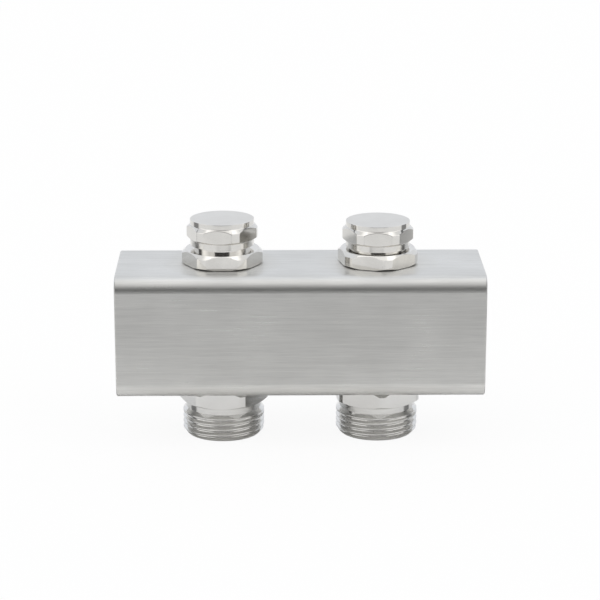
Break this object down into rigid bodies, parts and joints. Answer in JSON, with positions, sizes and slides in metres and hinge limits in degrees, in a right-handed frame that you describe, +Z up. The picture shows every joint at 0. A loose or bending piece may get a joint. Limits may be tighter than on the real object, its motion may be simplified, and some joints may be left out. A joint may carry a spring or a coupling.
{
  "type": "heating manifold",
  "caption": "Square stainless manifold bar with capped lockshield valves on top, threaded outlets below and a threaded socket at each end, for sharing heating water between circuits.",
  "frame": {"origin": "centre of the footprint on the plane of the outlet mouths, half way between the outlets", "axes": "+Z up, +X along the bar to the right as seen in the picture, +Y to the back of the bar"},
  "size_m": [0.1176, 0.04, 0.0715],
  "materials": {
    "stainless_bar": "brushed along the bar",
    "stainless_plate": "turned and welded in",
    "nickel": "bright nickel plate on turned brass",
    "brass": "turned, bare",
    "steel": "bare stainless spring and screw steel",
    "rubber": "moulded black sealing rubber",
    "fibre": "pressed sealing fibre"
  },
  "bodies": {
    "manifold": {"manifold_bar": "stainless_bar", "end_plate_left": "stainless_plate", "end_plate_right": "stainless_plate", "outlet_nipple_1": "nickel", "outlet_seal_1": "rubber", "valve_bonnet_1": "nickel", "bonnet_seal_1": "rubber", "stop_ring_1": "steel", "outlet_nipple_2": "nickel", "outlet_seal_2": "rubber", "valve_bonnet_2": "nickel", "bonnet_seal_2": "rubber", "stop_ring_2": "steel"},
    "cap_seal_1": {"cap_seal_1": "fibre"},
    "cap_1": {"valve_cap_1": "nickel"},
    "valve_disc_1": {"disc_holder_1": "brass", "disc_washer_1": "rubber"},
    "spindle_1": {"spindle_1": "brass", "stem_seals_1": "rubber", "disc_screw_1": "steel"},
    "cap_seal_2": {"cap_seal_2": "fibre"},
    "cap_2": {"valve_cap_2": "nickel"},
    "valve_disc_2": {"disc_holder_2": "brass", "disc_washer_2": "rubber"},
    "spindle_2": {"spindle_2": "brass", "stem_seals_2": "rubber", "disc_screw_2": "steel"}
  },
  "joints": [
    {"name": "cap_1_rise", "type": "slide", "parent": "manifold", "child": "cap_seal_1", "axis": [0, 0, 1], "range_m": [-0.0008, 0.0049]},
    {"name": "cap_1_turn", "type": "hinge", "parent": "cap_seal_1", "child": "cap_1", "pos_m": [-0.025, 0, 0.0568], "axis": [0, 0, 1], "range_deg": [-192, 1176]},
    {"name": "disc_1_rise", "type": "slide", "parent": "manifold", "child": "valve_disc_1", "axis": [0, 0, 1], "range_m": [0, 0.003]},
    {"name": "spindle_1_turn", "type": "hinge", "parent": "valve_disc_1", "child": "spindle_1", "pos_m": [-0.025, 0, 0.0568], "axis": [0, 0, 1], "range_deg": [0, 1080]},
    {"name": "cap_2_rise", "type": "slide", "parent": "manifold", "child": "cap_seal_2", "axis": [0, 0, 1], "range_m": [0, 0.0057]},
    {"name": "cap_2_turn", "type": "hinge", "parent": "cap_seal_2", "child": "cap_2", "pos_m": [0.025, 0, 0.0568], "axis": [0, 0, 1], "range_deg": [0, 1368]},
    {"name": "disc_2_rise", "type": "slide", "parent": "manifold", "child": "valve_disc_2", "axis": [0, 0, 1], "range_m": [0, 0.003]},
    {"name": "spindle_2_turn", "type": "hinge", "parent": "valve_disc_2", "child": "spindle_2", "pos_m": [0.025, 0, 0.0568], "axis": [0, 0, 1], "range_deg": [0, 1080]}
  ],
  "couplings": [
    {"joint": "cap_1_turn", "follows": "cap_1_rise", "rad_per_m": 4188.8},
    {"joint": "spindle_1_turn", "follows": "disc_1_rise", "rad_per_m": 6283.2},
    {"joint": "cap_2_turn", "follows": "cap_2_rise", "rad_per_m": 4188.8},
    {"joint": "spindle_2_turn", "follows": "disc_2_rise", "rad_per_m": 6283.2}
  ]
}
